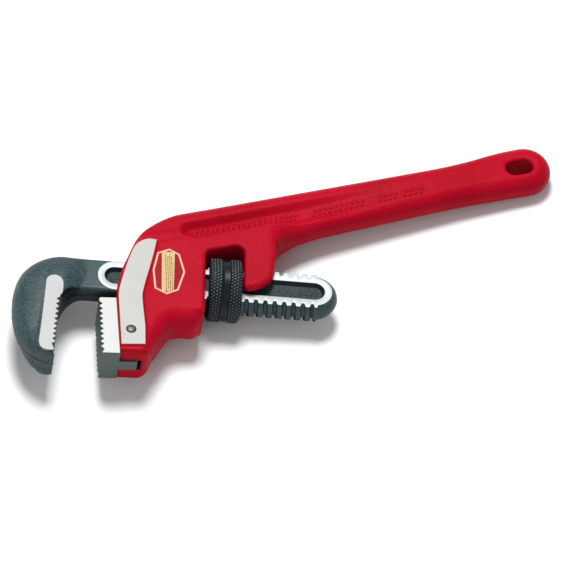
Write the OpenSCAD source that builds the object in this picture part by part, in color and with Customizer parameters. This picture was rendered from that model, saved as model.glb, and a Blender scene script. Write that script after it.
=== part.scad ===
// Heavy-duty straight pipe wrench, 350 mm long, for pipe up to 60 mm outside diameter.
// The shank of the hook jaw runs along X, the jaws open towards -Y, and Z is the thickness.
// Everything is drawn about the shank's axis, and place() moves it to the row's origin.

/* [Shank and thread] */
// Thickness of the shank between its two ground faces
shank_t = 13.4; // [13:0.1:14]
// Outside diameter of the thread on the shank's two edges
thread_d = 29; // [28.6:0.1:29.4]
// Diameter at the bottom of the thread
root_d = 24.4; // [24:0.1:24.8]
// Travel of the jaw for one turn of the nut
thread_pitch = 5.75; // [5.5:0.05:6]
// Height of the shank where it has no thread
shank_h = 25.4; // [25:0.1:25.8]
// Depth of the forged recess in each side of the shank
recess_depth = 3; // [2:0.25:4]
// Height of that recess
recess_h = 13.3; // [12:0.1:13.6]

/* [Hook jaw] */
// Thickness of the hook across its ground faces
jaw_t = 24; // [22:0.5:26]
// Lean of the hook's teeth away from square
hook_lean = 3.7; // [3:0.1:4.5]
// Pitch of the teeth on both jaws
tooth_pitch = 3.95; // [3.6:0.05:4.4]
// Depth of the teeth
tooth_depth = 1.5; // [1:0.1:1.8]

/* [Heel jaw] */
// Lean of the heel jaw's seat
heel_lean = 4.2; // [3.5:0.1:5]
// Width of the toothed block
heel_w = 10.9; // [10:0.1:11.5]
// Length of the toothed block
heel_len = 43.6; // [42:0.2:45]
// Thickness of the tongue that holds the heel jaw in the housing
tongue_t = 7.9; // [7:0.1:8.5]
// Diameter of the pin through the tongue
pin_d = 6.2; // [5.5:0.1:6.5]

/* [Nut] */
// Outside diameter of the adjusting nut
nut_d = 38.7; // [37:0.1:39]
// Width of the adjusting nut
nut_w = 20.4; // [19:0.1:20.6]
// Width of the smooth groove between its two knurled bands
nut_groove_w = 3.9; // [3:0.1:5]

/* [Handle] */
// Angle between the handle and the shank
handle_angle = 18.6; // [18:0.1:19.2]
// Width of the grip's round end
grip_w = 31; // [30:0.2:31.6]
// Thickness of the grip
grip_t = 18; // [17:0.2:19]
// Thickness of the housing that holds the jaws
housing_t = 27.6; // [27:0.2:28.4]
// Thickness across the ground pads beside the heel jaw
pad_t = 30; // [29:0.2:31]
// Length of the hanging hole in the grip's end
hang_len = 16.5; // [14:0.5:18]
// Width of that hole
hang_w = 11.8; // [10:0.2:13]

/* [Springs] */
// Diameter of the coil spring's wire
wire_d = 1.3; // [1:0.1:1.5]
// Outside diameter of the coil spring
coil_d = 9.4; // [8.8:0.1:9.8]
// Thickness of the flat spring
leaf_t = 0.9; // [0.7:0.1:1]

/* [Hidden] */
$fn = 64;

// Places along the shank, measured from the housing's own centre
shank_left = -79.8;       // left end of the ground rim
tail_x = 52.6;            // centre of the tail's round end
thread_start = -38;       // the thread runs from here
thread_end = 55.5;        // to here
thread_phase = 14.7;      // a crest of the lower edge lies here
nut_x = -2.1;             // centre of the nut
rim_end_r = 10.9;         // radius of the ground rim's round end
rim_w = 4.6;              // width of the ground rim
lead = atan(thread_pitch / (PI * 27));
crest_w = 2.7;            // width of a thread crest
flank = 0.35;             // each flank's run down to the root
thread_gap = 0.3;         // clearance between nut and shank threads

// The hook, as arcs that meet tangentially
back_r = 79;
back_c = [-51, -27.5];
crown_r = 30.5;
crown_c = [-99.3, -16.7];
nose_r = 24;
nose_bottom = -67.8;
nose_y = nose_bottom + nose_r;
nose_c = [back_c[0] - sqrt(pow(back_r - nose_r, 2) - pow(nose_y - back_c[1], 2)), nose_y];
nose_turn = 180 + atan((back_c[1] - nose_c[1]) / (back_c[0] - nose_c[0]));
throat_r = 13.6;
throat_c = [-87.5, -shank_h / 2 - throat_r];
hook_top = [-102.75, -24];    // first tooth of the hook
hook_teeth = 10;

// The heel jaw's own frame starts at the top of its seat
seat = [-68.5, -20.5];
heel_drop = 1.4;          // the block starts this far below the seat's top
heel_teeth = 10;
heel_front_lean = 1.1;    // the toothed face widens the block downwards
heel_flare = heel_len * tan(heel_front_lean) - 0.4;
tongue_len = 11.5;
tongue_top = -16;
slot_gap = 0.1;
slot_len = tongue_len + 2;
pin_at = [7.2, -28.1];

// The grip is drawn from the middle of its round end: along it, its lower edge and its upper edge
grip_c = [180.8, 112.7];
grip_edges = [[-215.6, -30, 12.1], [-190, -38, 12.1], [-172.4, -35, 12.1], [-168, -30, 12.1],
    [-164.4, -26.1, 12.1], [-159, -23.8, 12.1], [-153, -22.1, 12.1], [-145, -20.6, 12.1],
    [-136.6, -19.5, 12.1], [-50, -15.3, 12.1], [-33, -15.2, 13.2], [-20, -15.2, 14.8],
    [-10, -15.3, 15.4], [0, -15.5, 15.5]];
ring_points = 12;
corner_r = 46;
corner_c = [-215.6, 12.1 - corner_r];
end_y = -63.8;            // the housing's lower end
window = [-14.6, 9];      // the nut's window, along the shank
lug_c = [10.9, 9.4];       // the lug right of the nut ends in an arc
lug_r = 16.4;
pocket_top = 15.9;
pocket_floor = -18.2;
pocket_t = shank_t + 0.6;
spring_x = -33;
spring_floor = -28;
leaf_top = -thread_d / 2 - 0.35;
leaf_w = 9;
leaf_x = [-50, -18];
hang_c = [176.5, 110.8];
hang_half = (hang_len - hang_w) / 2;
hang_step = [hang_half * cos(handle_angle), hang_half * sin(handle_angle)];
hang_from = hang_c - hang_step;
hang_to = hang_c + hang_step;
channel_from = [-18, 38.5];
channel_to = [112, 83.5];
channel_depth = 4;
channel_r = 5.4;

// The row's origin is the middle of the whole outline, on the table under the nut
x_min = back_c[0] - back_r;
x_max = grip_c[0] + grip_w / 2;
y_min = nose_bottom;
y_max = grip_c[1] + grip_w / 2;

function arc(c, r, from, to, n = 12) =
    [for (i = [0:n]) let (a = from + (to - from) * i / n) [c[0] + r * cos(a), c[1] + r * sin(a)]];

// Points of a toothed edge that runs down from p at a lean, with the teeth's roots towards side
function teeth(p, lean, n, side) =
    [for (i = [0:n - 1], k = [0, 0.62, 1])
        let (s = (i + k) * tooth_pitch, d = k == 0.62 ? tooth_depth : 0)
        [p[0] - s * sin(lean) + side * d * cos(lean), p[1] - s * cos(lean) - side * d * sin(lean)]];

module place() {
    translate([-(x_min + x_max) / 2, -(y_min + y_max) / 2, nut_d / 2])
        children();
}

module slab(t) {
    linear_extrude(height = t, center = true)
        children();
}

// A prism along Y whose section lies in XZ
module along_y(from, to) {
    translate([0, to, 0])
        rotate([90, 0, 0])
            linear_extrude(height = to - from)
                children();
}

// A prism along X whose section lies in YZ
module along_x(from, to) {
    translate([from, 0, 0])
        rotate([90, 0, 90])
            linear_extrude(height = to - from)
                children();
}

module rod_x(from, to, r) {
    translate([from, 0, 0])
        rotate([0, 90, 0])
            cylinder(h = to - from, r = r, $fn = 96);
}

// A flat shape with round ends between two points
module stadium(p, q, r) {
    d = q - p;
    translate(p)
        rotate(atan2(d[1], d[0])) {
            translate([0, -r])
                square([norm(d), 2 * r]);
            circle(r = r);
            translate([norm(d), 0])
                circle(r = r);
        }
}

module mirrored_profile(points) {
    polygon([for (p = points) p, for (i = [len(points) - 1:-1:0]) [points[i][0], -points[i][1]]]);
}

// ---- hook jaw ----

module hook_outline() {
    polygon(concat(
        [[-76, shank_h / 2]],
        arc(crown_c, crown_r, 90, 172),
        arc(back_c, back_r, 173, nose_turn),
        arc(nose_c, nose_r, nose_turn + 4, 266),
        [[hook_top[0] - 43.4 * sin(hook_lean), nose_bottom + 0.2]],
        [for (i = [3 * hook_teeth - 1:-1:0]) teeth(hook_top, hook_lean, hook_teeth, -1)[i]],
        arc(throat_c, throat_r, 160, 90),
        [[-76, -shank_h / 2]]));
}

// The hook's back is rounded over from its ground face to the middle of its thickness
function back_edge(at) = [[at - 18, jaw_t / 2], [at - 11, jaw_t / 2 - 1.6], [at - 5.6, jaw_t / 2 - 4.6],
    [at - 2, jaw_t / 2 - 7.8], [at, jaw_t / 2 - 11]];

module hook_head() {
    slope = crown_c * [-sin(45), cos(45)] + crown_r;
    intersection() {
        slab(jaw_t)
            hook_outline();
        rotate([0, 0, 180])
            along_y(-20, 80)
                mirrored_profile(concat([[76, shank_t / 2], [96, shank_t / 2], [101, jaw_t / 2]],
                    back_edge(back_r - back_c[0])));
        rotate([0, 0, 135])
            along_y(-150, 150)
                mirrored_profile(concat([[-10, jaw_t / 2]], back_edge(slope)));
        along_x(-140, -60)
            mirrored_profile([[13.8, 2], [12, 5.4], [7.5, 8.4], [0, 11], [-7, jaw_t / 2],
                [-66, jaw_t / 2], [-69, 9]]);
    }
}

// The plain shank has a parting line at mid thickness and a slight draft
module shank_section() {
    mirrored_profile([[shank_h / 2, 0], [shank_h / 2 - 1.5, shank_t / 2],
        [1.5 - shank_h / 2, shank_t / 2], [-shank_h / 2, 0]]);
}

// One row of thread teeth on the edge that side points to. They lean at the thread's lead angle
module thread_row(side) {
    shift = side > 0 ? thread_pitch / 2 : 0;
    first = ceil((thread_start - thread_phase - shift) / thread_pitch);
    last = floor((thread_end - thread_phase - shift) / thread_pitch);
    for (i = [first:last])
        translate([thread_phase + shift + i * thread_pitch, 0, 0])
            rotate([0, side * lead, 0])
                linear_extrude(height = shank_t + 4, center = true)
                    polygon([[-crest_w / 2 - 3 * flank, side * 8],
                        [-crest_w / 2 - flank, side * root_d / 2],
                        [-crest_w / 2, side * 15], [crest_w / 2, side * 15],
                        [crest_w / 2 + flank, side * root_d / 2], [crest_w / 2 + 3 * flank, side * 8]]);
}

module threaded_tail() {
    intersection() {
        slab(shank_t)
            translate([thread_start - 1, -20])
                square([thread_end - thread_start + 4, 40]);
        union() {
            rod_x(thread_start - 1, tail_x, root_d / 2);
            intersection() {
                rod_x(thread_start, thread_end, thread_d / 2);
                union() {
                    thread_row(1);
                    thread_row(-1);
                }
            }
        }
    }
}

module tail_nose() {
    translate([tail_x, 0, 0])
        rotate_extrude($fn = 96)
            polygon([[0, -shank_t / 2], [rim_end_r, -shank_t / 2], [13, -shank_t / 2 + 3],
                [thread_d / 2, -0.6], [thread_d / 2, 0.6], [13, shank_t / 2 - 3],
                [rim_end_r, shank_t / 2], [0, shank_t / 2]]);
}

module hook_jaw() {
    color("#3c4a4a")
        place()
            difference() {
                union() {
                    hook_head();
                    along_x(-90, thread_start)
                        shank_section();
                    threaded_tail();
                    tail_nose();
                }
                for (z = [-shank_t / 2 - 1, shank_t / 2 - recess_depth])
                    translate([0, 0, z])
                        linear_extrude(height = recess_depth + 1)
                            stadium([shank_left + rim_w + recess_h / 2 - 0.7, 0], [tail_x, 0], recess_h / 2);
            }
}

// ---- heel jaw and its pin ----

module heel_frame() {
    translate([seat[0], seat[1], 0])
        rotate([0, 0, heel_lean])
            children();
}

module heel_jaw() {
    color("#8b9393")
        place()
            heel_frame()
                difference() {
                    union() {
                        slab(jaw_t + 0.4)
                            polygon(concat(
                                [[0, -heel_drop], [-heel_w + 0.6, -heel_drop - 0.6],
                                    [-heel_w, -heel_drop - 1.6]],
                                teeth([-heel_w, -heel_drop - 2.4], heel_front_lean, heel_teeth, 1),
                                [[-heel_w - heel_flare, -heel_drop - heel_len], [0, -heel_drop - heel_len]]));
                        slab(tongue_t)
                            polygon([[-1, -heel_drop - heel_len], [tongue_len - 1, -heel_drop - heel_len],
                                [tongue_len, -heel_drop - heel_len + 1], [tongue_len, tongue_top - 2],
                                [tongue_len - 2, tongue_top], [-1, tongue_top]]);
                    }
                    translate([pin_at[0], pin_at[1], 0])
                        cylinder(h = 2 * tongue_t, r = pin_d / 2 + 0.1, center = true);
                }
}

module heel_jaw_pin() {
    dome = 0.9;
    color("#70757a")
        place()
            heel_frame()
                translate([pin_at[0], pin_at[1], 0])
                    rotate_extrude()
                        polygon([[0, -pad_t / 2 - dome], [pin_d / 2 - 1, -pad_t / 2 - 0.5],
                            [pin_d / 2, -pad_t / 2 + 0.4], [pin_d / 2, pad_t / 2 - 0.4],
                            [pin_d / 2 - 1, pad_t / 2 + 0.5], [0, pad_t / 2 + dome]]);
}

// ---- adjusting nut ----

// The space in the nut that the shank's thread runs in: a ridge that winds round X
module nut_thread_space() {
    steps = 24;
    half = nut_w / 2 + thread_pitch;
    count = floor(2 * half / thread_pitch * steps);
    r_in = root_d / 2 - 1;
    r_out = thread_d / 2 + thread_gap + 0.15;
    w_in = crest_w / 2 + 1.6 * flank + thread_gap;
    w_out = crest_w / 2 + thread_gap;
    function ring(i) = let (a = 180 + i * 360 / steps, x = i * thread_pitch / steps)
        [for (q = [[w_in, r_in], [w_out, r_out], [-w_out, r_out], [-w_in, r_in]])
            [x + q[0], q[1] * cos(a), q[1] * sin(a)]];
    first = -floor(count / 2);
    last = first + count;
    points = [for (i = [first:last]) each ring(i)];
    sides = [for (i = [0:count - 1], k = [0:3]) let (a = 4 * i + k, b = 4 * i + (k + 1) % 4)
        each [[a, a + 4, b], [b, a + 4, b + 4]]];
    ends = [[0, 1, 2, 3], [4 * count + 3, 4 * count + 2, 4 * count + 1, 4 * count]];
    polyhedron(concat(points), concat(sides, ends));
}

module adjusting_nut() {
    // the ridge follows the shank's crest that lies nearest under the nut
    near = thread_phase - thread_pitch * round((thread_phase - nut_x) / thread_pitch);
    g = nut_groove_w / 2;
    r = nut_d / 2;
    color("#2c3436")
        place()
            difference() {
                translate([nut_x, 0, 0])
                    rotate([0, 90, 0])
                        rotate_extrude($fn = 128)
                            polygon([[root_d / 2 + thread_gap, -nut_w / 2], [r - 3, -nut_w / 2],
                                [r, -nut_w / 2 + 1.8], [r, -g - 0.5], [r - 0.9, -g],
                                [r - 0.9, g], [r, g + 0.5], [r, nut_w / 2 - 1.8],
                                [r - 3, nut_w / 2], [root_d / 2 + thread_gap, nut_w / 2]]);
                translate([near, 0, 0])
                    nut_thread_space();
            }
}

// ---- springs ----

module coil_spring() {
    turns = 5;
    steps = 16;
    sides = 6;
    top = leaf_top - leaf_t;
    r = (coil_d - wire_d) / 2;
    rise = (top - spring_floor - wire_d) / turns;
    n = turns * steps;
    // the wire flattens out at both ends, as a closed end does
    function height(i) = spring_floor + wire_d / 2 + rise * i / steps;
    points = [for (i = [0:n], k = [0:sides - 1])
        let (a = i * 360 / steps, b = 30 + k * 360 / sides, q = r + wire_d / 2 * cos(b))
        [spring_x + q * cos(a), min(max(height(i) + wire_d / 2 * sin(b), spring_floor), top), q * sin(a)]];
    faces = concat(
        [[for (k = [0:sides - 1]) k]],
        [for (i = [0:n - 1], k = [0:sides - 1])
            let (a = i * sides + k, b = i * sides + (k + 1) % sides)
            each [[a, a + sides, b], [b, a + sides, b + sides]]],
        [[for (k = [sides - 1:-1:0]) n * sides + k]]);
    color("#b9bcc0")
        place()
            polyhedron(points, faces);
}

module flat_spring() {
    color("#8d9299")
        place()
            slab(leaf_w)
                polygon([[leaf_x[0], leaf_top - 0.2], [leaf_x[0] + 4, leaf_top], [leaf_x[1] - 4, leaf_top],
                    [leaf_x[1], leaf_top - 0.2], [leaf_x[1], leaf_top - leaf_t - 0.2],
                    [leaf_x[1] - 4, leaf_top - leaf_t], [leaf_x[0] + 4, leaf_top - leaf_t],
                    [leaf_x[0], leaf_top - leaf_t - 0.2]]);
}

// ---- handle ----

module grip_frame() {
    translate([grip_c[0], grip_c[1], 0])
        rotate([0, 0, handle_angle])
            children();
}

// Half thickness of the grip at a distance in from its edge, which is fully rounded
function edge_z(in) = let (q = max(0, grip_t / 2 - in)) sqrt(max(0, pow(grip_t / 2, 2) - q * q));

// One ring round the grip, from its lower edge point p to its upper edge point q. A ring in the round
// end lies past distance beyond the end's middle
function grip_ring(p, q, past = 0) =
    let (half = norm(q - p) / 2, across = (q - p) / (2 * half), middle = (p + q) / 2)
    [for (side = [1, -1], i = [0:ring_points])
        let (u = -side * half * cos(180 * i / ring_points),
            in = past > 0 ? grip_w / 2 - norm([past, u]) : half - abs(u),
            at = middle + across * u)
        if (i > 0 || side > 0)
            if (i < ring_points || side > 0)
                [at[0], at[1], side * edge_z(in)]];

// The grip and the corner over the pads, as rings that follow both edges
module grip() {
    rings = concat(
        [for (a = [60:-10:10]) let (d = [-sin(a), cos(a)])
            grip_ring(corner_c + 12 * d, corner_c + corner_r * d)],
        [for (e = grip_edges) grip_ring([e[0], e[1]], [e[0], e[2]])],
        [for (a = [15:15:75]) let (x = grip_w / 2 * sin(a), y = grip_w / 2 * cos(a))
            grip_ring([x, -y], [x, y], x)],
        [grip_ring([grip_w / 2 - 0.1, -1.7], [grip_w / 2 - 0.1, 1.7], grip_w / 2 - 0.1)]);
    n = len(rings[0]);
    last = len(rings) - 1;
    grip_frame()
        polyhedron([for (r = rings) each r], concat(
            [[for (k = [n - 1:-1:0]) k]],
            [for (i = [0:last - 1], k = [0:n - 1])
                let (p = i * n + k, q = i * n + (k + 1) % n)
                each [[p, q, p + n], [q, q + n, p + n]]],
            [[for (k = [0:n - 1]) last * n + k]]));
}

function window_top() = concat(
    arc([window[0] + 5, 16.4], 5, 180, 100, 5),
    arc([window[1] - 5, 20.8], 5, 100, 0, 6));

// The block behind the heel jaw and over the nut's window. It slopes down to the grip's face
module block() {
    face = housing_t / 2;
    intersection() {
        slab(housing_t)
            polygon(concat(
                [[-64.9, 2.5], [-68, -13], seat, [seat[0] + 1.2, -36], [-48.5, -36], [-45, -28]],
                [[window[0], -22], [window[0], 10]],
                window_top(),
                [[window[1], 8], [window[1], lug_c[1] - lug_r]],
                arc(lug_c, lug_r, 270, 355, 10),
                [[28.2, 20], [30, 60], [-40, 40], [-51, 25.4], [-55.8, 22], [-60.2, 17]]));
        grip_frame()
            along_x(-330, 0)
                mirrored_profile([[-110, face], [-13, face], [-3, grip_t / 2], [4, grip_t / 2]]);
    }
}

// The belly under the shank has a rounded lower edge
module belly() {
    low = -34;
    r = 9;
    intersection() {
        slab(housing_t)
            polygon(concat(
                [[-50, -20], [-50, low]],
                arc([window[0] - 11, low + 11], 11, 270, 360, 8),
                [[window[0], -20]]));
        along_x(-60, -10)
            mirrored_profile(concat(arc([low + r, housing_t / 2 - r], r, 180, 90, 8), [[0, housing_t / 2]]));
    }
}

// The arm beside the heel jaw, whose back edge is rounded and leans
module arm() {
    back = -18.2;
    r = 8;
    intersection() {
        slab(housing_t)
            polygon(concat(
                [[seat[0], seat[1]], [seat[0] + (seat[1] - end_y) * tan(heel_lean), end_y]],
                arc([-48, end_y + 7], 7, 270, 345, 6),
                [[-33, -40], [-30.7, -34.6], [-27, -20]]));
        rotate([0, 0, -22.3])
            along_y(-90, 30)
                mirrored_profile(concat([[-80, housing_t / 2]],
                    arc([back - r, housing_t / 2 - r], r, 90, 0, 8)));
        along_x(-90, 0)
            mirrored_profile([[end_y, housing_t / 2 - 2.5], [end_y + 2.5, housing_t / 2],
                [0, housing_t / 2]]);
    }
}

module pads_outline() {
    polygon([[-44.9, 24], [-50, 24.6], [-55.6, 21.6], [-59.9, 16.8], [-63.9, 1],
        [-67.3, -15.5], [-67.7, -20.6], [-65, -60.3], [-50.3, -58.8], [-50.9, -44],
        [-52.8, -22.5], [-52.3, -16.5], [-47.3, 9.5]]);
}

module handle() {
    color("#c41a30")
        place()
            difference() {
                union() {
                    grip();
                    belly();
                    arm();
                    block();
                    slab(pad_t)
                        pads_outline();
                }
                // the pocket for the shank, with room for it to rock
                along_x(-90, 60)
                    translate([pocket_floor, -pocket_t / 2])
                        square([pocket_top - pocket_floor, pocket_t]);
                // the nut's window, open downwards
                slab(housing_t + 10)
                    polygon(concat(
                        [[window[0], -40], [window[0], 10]],
                        window_top(),
                        [[window[1], -40]]));
                // the coil spring's seat
                translate([spring_x, pocket_floor + 1, 0])
                    rotate([90, 0, 0])
                        cylinder(h = pocket_floor + 1 - spring_floor, r = coil_d / 2 + 0.4);
                // the slot for the heel jaw's tongue, and the pin's bore
                heel_frame() {
                    slab(tongue_t + 2 * slot_gap)
                        translate([-5, -60])
                            square([slot_len + 5, 60 + tongue_top + 1]);
                    translate([pin_at[0], pin_at[1], 0])
                        cylinder(h = 2 * pad_t, r = pin_d / 2, center = true);
                }
                // the hanging hole
                slab(grip_t + 2)
                    stadium(hang_from, hang_to, hang_w / 2);
                // the channel in each side of the grip
                for (z = [-grip_t, grip_t / 2 - channel_depth])
                    translate([0, 0, z])
                        linear_extrude(height = grip_t / 2 + channel_depth)
                            stadium(channel_from, channel_to, channel_r);
            }
}

module label() {
    color("#e8c8a8")
        place()
            translate([0, 0, housing_t / 2])
                linear_extrude(height = 0.2)
                    polygon([[-37.1, 18.5], [-44.4, 14.8], [-47, 1], [-45.6, -13.6],
                        [-38, -17.6], [-30.9, -13.7], [-27.1, 1], [-30.7, 14.8]]);
}

handle();
hook_jaw();
heel_jaw();
heel_jaw_pin();
adjusting_nut();
coil_spring();
flat_spring();
label();
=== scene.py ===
"""The looks of the pipe wrench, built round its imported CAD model.

Shapes are drawn in the wrench's own frame, in millimetres: X along the shank, Y towards the
handle, Z through the thickness, with the shank's axis at Y = Z = 0.
"""
import math

import bpy
import numpy as np
from mathutils import Matrix, Vector


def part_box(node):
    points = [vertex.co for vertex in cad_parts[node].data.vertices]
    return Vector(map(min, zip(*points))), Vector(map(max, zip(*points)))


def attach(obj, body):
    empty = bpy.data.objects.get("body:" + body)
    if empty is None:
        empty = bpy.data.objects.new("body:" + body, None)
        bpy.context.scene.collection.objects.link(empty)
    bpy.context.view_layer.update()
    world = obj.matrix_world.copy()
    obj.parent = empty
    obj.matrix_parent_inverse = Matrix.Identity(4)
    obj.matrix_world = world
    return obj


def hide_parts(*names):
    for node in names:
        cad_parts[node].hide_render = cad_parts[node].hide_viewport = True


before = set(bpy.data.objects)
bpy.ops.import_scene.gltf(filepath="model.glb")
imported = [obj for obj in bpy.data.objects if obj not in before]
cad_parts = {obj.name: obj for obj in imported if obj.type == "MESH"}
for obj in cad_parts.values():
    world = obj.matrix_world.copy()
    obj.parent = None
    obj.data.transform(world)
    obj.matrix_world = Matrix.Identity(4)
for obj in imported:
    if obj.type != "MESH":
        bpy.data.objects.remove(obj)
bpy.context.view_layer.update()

MM = 0.001
NUT_X = -2.1
nut_low, nut_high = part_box("adjusting_nut")
ORIGIN = np.array((nut_low + nut_high) / 2) - np.array([NUT_X * MM, 0, 0])


# ---------------------------------------------------------------- points and outlines

def arc(cx, cy, r, start, end, steps):
    angles = np.radians(np.linspace(start, end, steps + 1))
    return np.column_stack([cx + r * np.cos(angles), cy + r * np.sin(angles)])


def turned(points, origin, degrees):
    """Points of a frame that is turned about the origin, in the wrench's own frame."""
    c, s = math.cos(math.radians(degrees)), math.sin(math.radians(degrees))
    p = np.asarray(points, float)
    return np.column_stack([origin[0] + p[:, 0] * c - p[:, 1] * s,
                            origin[1] + p[:, 0] * s + p[:, 1] * c])


def rounded(points):
    """Cuts the corners of a closed outline, twice over."""
    p = np.asarray(points, float)
    for _ in range(2):
        before, after = np.roll(p, 1, 0), np.roll(p, -1, 0)
        p = np.stack([p + 0.25 * (before - p), p + 0.25 * (after - p)], 1).reshape(-1, 2)
    return p


def pill(half_x, half_y):
    """A rounded oblong about the origin."""
    return rounded([(-half_x, -half_y), (half_x, -half_y), (half_x, half_y), (-half_x, half_y)])


def spline(points, steps):
    """A smooth curve through the points."""
    p = np.asarray(points, float)
    p = np.vstack([2 * p[0] - p[1], p, 2 * p[-1] - p[-2]])
    t = np.linspace(0, 1, steps, endpoint=False)[:, None]
    parts = []
    for a, b, c, d in zip(p[:-3], p[1:-2], p[2:-1], p[3:]):
        parts.append(0.5 * (2 * b + (c - a) * t + (2 * a - 5 * b + 4 * c - d) * t ** 2
                            + (3 * b - a - 3 * c + d) * t ** 3))
    return np.vstack(parts + [p[-2:-1]])


def outline_with_radii(parts):
    """Joins (points, first radius, last radius) into one outline and its edge radii."""
    points, radii = [], []
    for shape, first, last in parts:
        shape = np.asarray(shape, float)
        points.append(shape)
        radii.append(np.linspace(first, last, len(shape)))
    return np.vstack(points), np.concatenate(radii)


# ---------------------------------------------------------------- distance fields

def smooth_step(t):
    t = np.clip(t, 0, 1)
    return t * t * (3 - 2 * t)


def smooth_max(a, b, k):
    h = np.maximum(k - np.abs(a - b), 0) / k
    return np.maximum(a, b) + h * h * k / 4


def cut(solid, tool, lip):
    """Takes the tool out of the solid and leaves a rounded lip."""
    return smooth_max(solid, -tool, lip)


def line_distance(x, y, points, carried=None):
    """Distance to an open line, and the number that its nearest point carries."""
    best = np.full(x.shape, 1e9)
    value = np.zeros(x.shape)
    for i in range(len(points) - 1):
        (ax, ay), (bx, by) = points[i], points[i + 1]
        dx, dy = bx - ax, by - ay
        length = dx * dx + dy * dy
        if length < 1e-12:
            continue
        t = np.clip(((x - ax) * dx + (y - ay) * dy) / length, 0, 1)
        d = (x - ax - t * dx) ** 2 + (y - ay - t * dy) ** 2
        nearer = d < best
        best = np.where(nearer, d, best)
        if carried is not None:
            value = np.where(nearer, carried[i] + t * (carried[i + 1] - carried[i]), value)
    return np.sqrt(best), value


def outline_distance(x, y, points, carried=None):
    """Distance to a closed outline, negative inside it, and the number carried by its nearest point."""
    closed = np.vstack([points, points[:1]])
    values = None if carried is None else np.append(carried, carried[0])
    away, value = line_distance(x, y, closed, values)
    inside = np.zeros(x.shape, bool)
    for (ax, ay), (bx, by) in zip(closed[:-1], closed[1:]):
        if ay != by:
            inside ^= ((ay > y) != (by > y)) & (x < (bx - ax) * (y - ay) / (by - ay) + ax)
    return np.where(inside, -away, away), value


def segment_distance(x, y, a, b):
    return line_distance(x, y, np.array([a, b], float))[0]


def grid(box, step):
    """A box's grid: plan positions as planes and heights as a line across them."""
    low, high = box
    count = np.ceil((high - low) / step).astype(int) + 1
    axes = [low[i] + step * np.arange(count[i]) for i in range(3)]
    x, y = np.meshgrid(axes[0], axes[1], indexing="ij")
    return x, y, axes[2][None, None, :]


def upright(*planes):
    """Planes that are ready to be combined with heights."""
    return [plane[:, :, None] for plane in planes]


def forging(plan, radius, half, z):
    """Distance to a flat body with rounded edges, from its plan distance and half thickness."""
    a = plan + radius
    b = np.abs(z) - half + radius
    return np.minimum(np.maximum(a, b), 0) + np.hypot(np.maximum(a, 0), np.maximum(b, 0)) - radius


def skin(field, low, step):
    """The zero surface of a field sampled on a grid, as points and quads."""
    inside = field < 0
    corner = [(i, j, k) for i in (0, 1) for j in (0, 1) for k in (0, 1)]
    shape = np.array(field.shape) - 1

    def part(a, c):
        return a[c[0]:c[0] + shape[0], c[1]:c[1] + shape[1], c[2]:c[2] + shape[2]]

    count = sum(part(inside, c).astype(np.int8) for c in corner)
    mixed = (count > 0) & (count < 8)
    cells = np.argwhere(mixed)
    values = {c: part(field, c)[mixed] for c in corner}
    total = np.zeros((len(cells), 3))
    hits = np.zeros(len(cells))
    for c in corner:
        for axis in range(3):
            if c[axis] == 0:
                d = tuple(v + (n == axis) for n, v in enumerate(c))
                va, vb = values[c], values[d]
                cross = (va < 0) != (vb < 0)
                t = np.where(cross, va / np.where(cross, va - vb, 1), 0)
                place = np.tile(np.array(c, float), (len(cells), 1))
                place[:, axis] += t
                total += np.where(cross[:, None], place, 0)
                hits += cross
    points = low + step * (cells + total / hits[:, None])
    number = np.full(tuple(shape), -1, np.int64)
    number[mixed] = np.arange(len(cells))
    quads = []
    for axis in range(3):
        u, v = [(1, 2), (2, 0), (0, 1)][axis]
        near = [slice(1, -1)] * 3
        near[axis] = slice(0, -1)
        far = list(near)
        far[axis] = slice(1, None)
        first, second = inside[tuple(near)], inside[tuple(far)]
        for leaving in (True, False):
            at = np.argwhere(first & ~second if leaving else ~first & second)
            at[:, u] += 1
            at[:, v] += 1
            ring = []
            for du, dv in [(-1, -1), (0, -1), (0, 0), (-1, 0)]:
                place = at.copy()
                place[:, u] += du
                place[:, v] += dv
                ring.append(number[place[:, 0], place[:, 1], place[:, 2]])
            ring = np.stack(ring, 1)
            quads.append(ring if leaving else ring[:, ::-1])
    return points, np.vstack(quads)


# ---------------------------------------------------------------- meshes

def add_piece(name, points, faces, materials, material_of_face=None, sharp=None, shade=None):
    """Makes an object from points in the wrench's own frame, in millimetres."""
    mesh = bpy.data.meshes.new(name)
    world = ORIGIN + np.asarray(points, float) * MM
    mesh.from_pydata(world.tolist(), [], [list(f) for f in faces])
    for material in materials:
        mesh.materials.append(material)
    if material_of_face is not None:
        mesh.polygons.foreach_set("material_index", np.asarray(material_of_face, np.int32))
    mesh.shade_smooth()
    if sharp is not None:
        mesh.set_sharp_from_angle(angle=math.radians(sharp))
    if shade is not None:
        layer = mesh.attributes.new("shade", "FLOAT", "POINT")
        layer.data.foreach_set("value", np.asarray(shade, np.float32))
    mesh.validate()
    piece = bpy.data.objects.new(name, mesh)
    bpy.context.scene.collection.objects.link(piece)
    return piece


def inset(points, distance):
    """The outline moved inwards by a small distance. It runs anticlockwise."""
    p = np.asarray(points, float)
    before, after = p - np.roll(p, 1, 0), np.roll(p, -1, 0) - p
    before /= np.linalg.norm(before, axis=1)[:, None]
    after /= np.linalg.norm(after, axis=1)[:, None]
    n1 = np.column_stack([-before[:, 1], before[:, 0]])
    n2 = np.column_stack([-after[:, 1], after[:, 0]])
    middle = n1 + n2
    return p + middle * (distance / np.maximum(1 + (n1 * n2).sum(1), 0.35))[:, None]


def anticlockwise(points):
    p = np.asarray(points, float)
    area = (p[:, 0] * np.roll(p[:, 1], -1) - np.roll(p[:, 0], -1) * p[:, 1]).sum()
    return p if area > 0 else p[::-1]


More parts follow.
